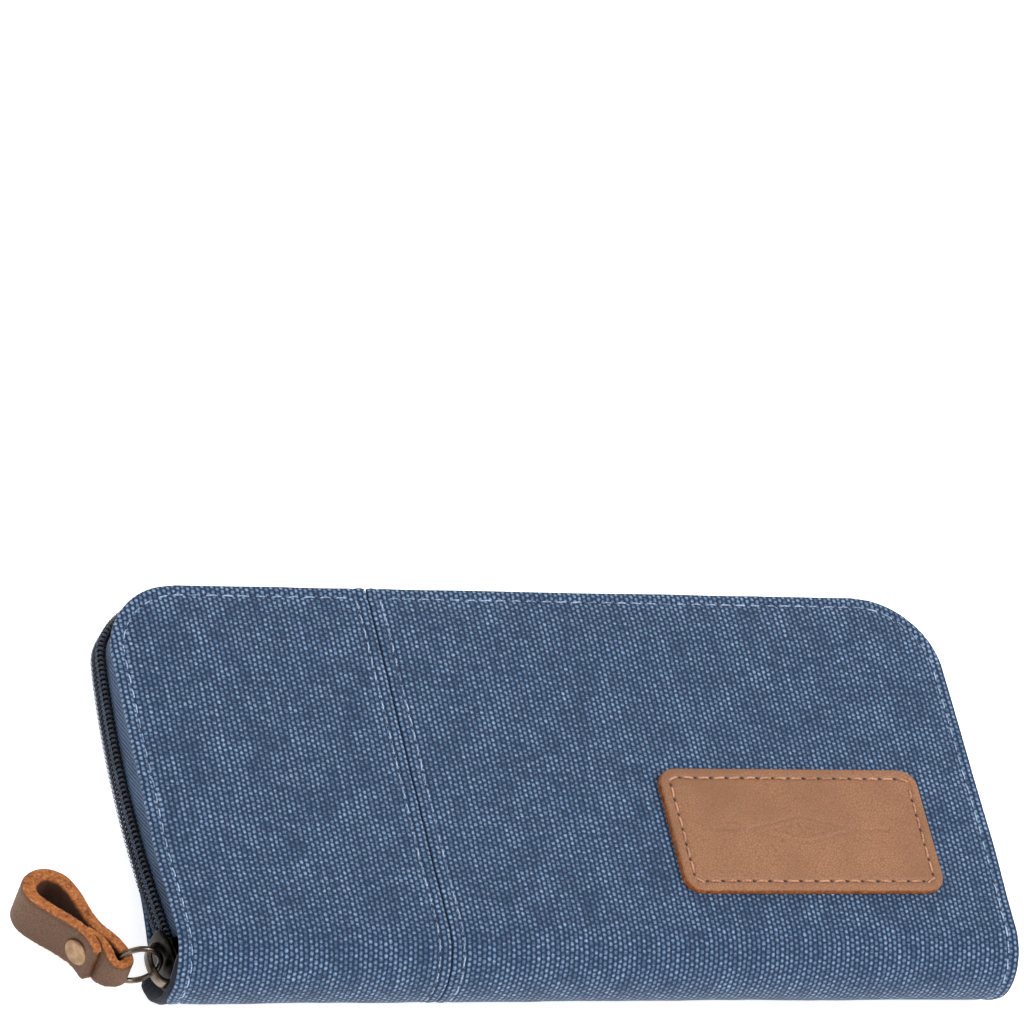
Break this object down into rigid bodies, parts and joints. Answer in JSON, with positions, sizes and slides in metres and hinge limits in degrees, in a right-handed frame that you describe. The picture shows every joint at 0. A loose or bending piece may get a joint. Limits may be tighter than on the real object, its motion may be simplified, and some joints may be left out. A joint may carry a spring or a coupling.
{
  "type": "zip-around wallet",
  "caption": "Long zip-around canvas wallet with a sewn leather patch, a wire ring and a riveted leather pull strap, opening like a book at the spine.",
  "frame": {"origin": "centre of the wallet's footprint on its flat back face; the pull strap reaches past the left side", "axes": "+X to the right along the spine, +Y from the spine to the top zip edge, +Z out of the front face"},
  "size_m": [0.2254, 0.096, 0.0226],
  "materials": {
    "washed_canvas": "washed plain weave canvas, navy with pale worn yarn tops",
    "canvas_thread": "pale blue sewing thread",
    "patch_thread": "pinkish tan sewing thread",
    "stiffener_board": "pressed fibre board",
    "zip_coil": "navy nylon coil",
    "zip_tape": "slate blue herringbone tape",
    "lining_fabric": "navy twill lining",
    "pocket_fabric": "navy twill pocket panels",
    "patch_leather": "tan leather, smooth grain, raw orange edge",
    "strap_leather": "brown leather grain with orange raw edges",
    "rivet_brass": "satin antique brass",
    "gunmetal": "polished dark gunmetal",
    "coin_metal": "polished dark gunmetal"
  },
  "bodies": {
    "back_half": {"back_canvas_long": "washed_canvas", "back_canvas_short": "washed_canvas", "back_stitching": "canvas_thread", "back_board": "stiffener_board", "back_lining": "lining_fabric", "back_card_pocket_1": "pocket_fabric", "back_card_pocket_2": "pocket_fabric", "back_card_pocket_3": "pocket_fabric", "spine_canvas_long": "washed_canvas", "spine_canvas_short": "washed_canvas", "spine_stitching": "canvas_thread", "spine_lining": "lining_fabric", "zip_tape_back": "zip_tape", "zip_coil_back": "zip_coil", "zip_end_tape_left": "zip_tape", "zip_end_tape_right": "zip_tape", "zip_end_coil_left": "zip_coil", "zip_end_coil_right": "zip_coil", "zip_top_stops": "gunmetal", "zip_bottom_stop": "gunmetal", "zip_end_tab_left": "lining_fabric", "zip_end_tab_right": "lining_fabric", "gusset_left": "lining_fabric", "gusset_right": "lining_fabric"},
    "front_half": {"front_canvas_long": "washed_canvas", "front_canvas_short": "washed_canvas", "front_stitching": "canvas_thread", "front_board": "stiffener_board", "front_lining": "lining_fabric", "front_card_pocket_1": "pocket_fabric", "front_card_pocket_2": "pocket_fabric", "front_card_pocket_3": "pocket_fabric", "leather_patch": "patch_leather", "patch_stitching": "patch_thread", "zip_tape_front": "zip_tape", "zip_coil_front": "zip_coil"},
    "coin_pocket": {"coin_wall_back": "lining_fabric", "coin_wall_front": "lining_fabric", "coin_pocket_base": "lining_fabric", "coin_zip_tape": "zip_tape", "coin_zip_coil": "zip_coil"},
    "zip_slider": {"slider_body": "gunmetal", "slider_bridge": "gunmetal"},
    "ring": {"pull_ring": "gunmetal"},
    "strap": {"pull_strap": "strap_leather", "rivet_cap": "rivet_brass", "rivet_post": "rivet_brass"},
    "coin_zip_slider": {"coin_slider": "coin_metal"},
    "coin_zip_pull": {"coin_pull": "coin_metal"}
  },
  "joints": [
    {"name": "cover_open", "type": "hinge", "parent": "back_half", "child": "front_half", "pos_m": [0, -0.0456, 0.0105], "axis": [1, 0, 0], "range_deg": [0, 60], "deforming": ["spine_canvas_long", "spine_canvas_short", "spine_stitching", "spine_lining", "gusset_left", "gusset_right"]},
    {"name": "coin_pocket_swing", "type": "hinge", "parent": "back_half", "child": "coin_pocket", "pos_m": [0, -0.0456, 0.0105], "axis": [1, 0, 0], "range_deg": [0, 30]},
    {"name": "slider_run", "type": "hinge", "parent": "back_half", "child": "zip_slider", "pos_m": [0.2016, 0.006, 0.0105], "axis": [0, 0, -1], "range_deg": [0, 11.5]},
    {"name": "ring_swing", "type": "hinge", "parent": "zip_slider", "child": "ring", "pos_m": [-0.09847, -0.0395, 0.011], "axis": [-0.0255, 0.1718, 0.9848], "range_deg": [-10, 35]},
    {"name": "strap_swing", "type": "hinge", "parent": "ring", "child": "strap", "pos_m": [-0.10847, -0.03943, 0.01073], "axis": [-0.0255, 0.1718, 0.9848], "range_deg": [-10, 60]},
    {"name": "coin_slider_run", "type": "slide", "parent": "coin_pocket", "child": "coin_zip_slider", "axis": [1, 0, 0], "range_m": [0, 0.14]},
    {"name": "coin_pull_swing", "type": "hinge", "parent": "coin_zip_slider", "child": "coin_zip_pull", "pos_m": [-0.07, 0.02785, 0.0105], "axis": [0, 0, 1], "range_deg": [0, 90]}
  ],
  "couplings": [
    {"joint": "coin_pocket_swing", "follows": "cover_open", "ratio": 0.5}
  ]
}
